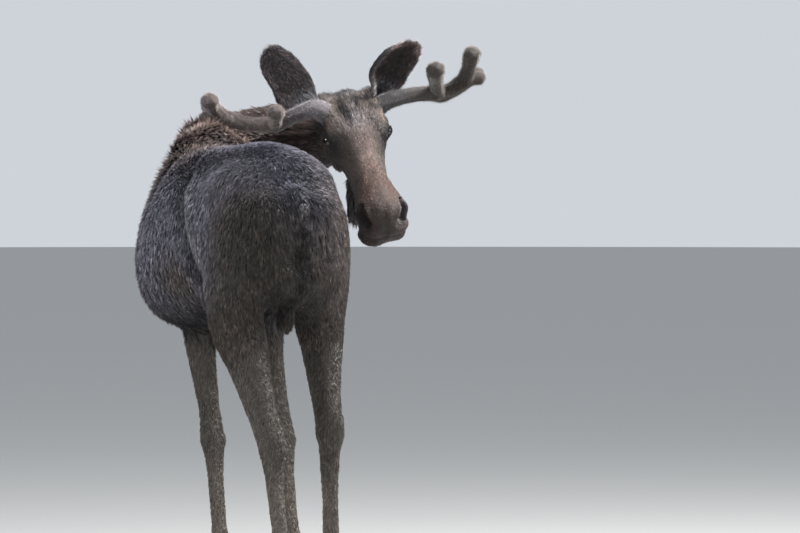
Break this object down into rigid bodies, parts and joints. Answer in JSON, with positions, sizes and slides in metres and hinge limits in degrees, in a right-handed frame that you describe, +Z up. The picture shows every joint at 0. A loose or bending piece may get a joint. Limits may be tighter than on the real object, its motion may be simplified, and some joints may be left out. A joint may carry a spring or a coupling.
{
  "type": "moose figure",
  "caption": "Life-size still model of a young bull moose in velvet, standing on four feet with its head turned back over its right shoulder.",
  "frame": {"origin": "middle of the bounding box at the level of the hoof soles", "axes": "+Z up, +Y the way the trunk faces, +X the animal's right"},
  "size_m": [1.4028, 1.9456, 2.0028],
  "materials": {
    "coat": "dense grey-brown fur",
    "mane": "long reddish-brown fur",
    "face": "short brown fur",
    "leg_coat": "short grey-tan fur",
    "ear": "thin furred ear",
    "velvet": "fuzzy velvet over antler",
    "horn": "satin dark hoof horn",
    "eye": "wet glossy dark eye"
  },
  "bodies": {
    "root": {"antler_left_beam": "velvet", "antler_left_outer": "velvet", "antler_left_rear": "velvet", "antler_left_tine": "velvet", "antler_left_upper": "velvet", "antler_right_beam": "velvet", "antler_right_outer": "velvet", "antler_right_rear": "velvet", "antler_right_tine": "velvet", "antler_right_upper": "velvet", "bell": "coat", "ear_left": "ear", "ear_right": "ear", "eye_left": "eye", "eye_right": "eye", "fore_left_cannon": "leg_coat", "fore_left_dewclaw_left": "horn", "fore_left_dewclaw_right": "horn", "fore_left_forearm": "leg_coat", "fore_left_hoof_left": "horn", "fore_left_hoof_right": "horn", "fore_left_pastern": "leg_coat", "fore_right_cannon": "leg_coat", "fore_right_dewclaw_left": "horn", "fore_right_dewclaw_right": "horn", "fore_right_forearm": "leg_coat", "fore_right_hoof_left": "horn", "fore_right_hoof_right": "horn", "fore_right_pastern": "leg_coat", "head": "face", "hind_left_cannon": "leg_coat", "hind_left_dewclaw_left": "horn", "hind_left_dewclaw_right": "horn", "hind_left_gaskin": "leg_coat", "hind_left_hoof_left": "horn", "hind_left_hoof_right": "horn", "hind_left_pastern": "leg_coat", "hind_left_thigh": "coat", "hind_right_cannon": "leg_coat", "hind_right_dewclaw_left": "horn", "hind_right_dewclaw_right": "horn", "hind_right_gaskin": "leg_coat", "hind_right_hoof_left": "horn", "hind_right_hoof_right": "horn", "hind_right_pastern": "leg_coat", "hind_right_thigh": "coat", "neck_lower": "mane", "neck_upper": "mane", "tail": "coat", "trunk": "coat"}
  },
  "joints": []
}
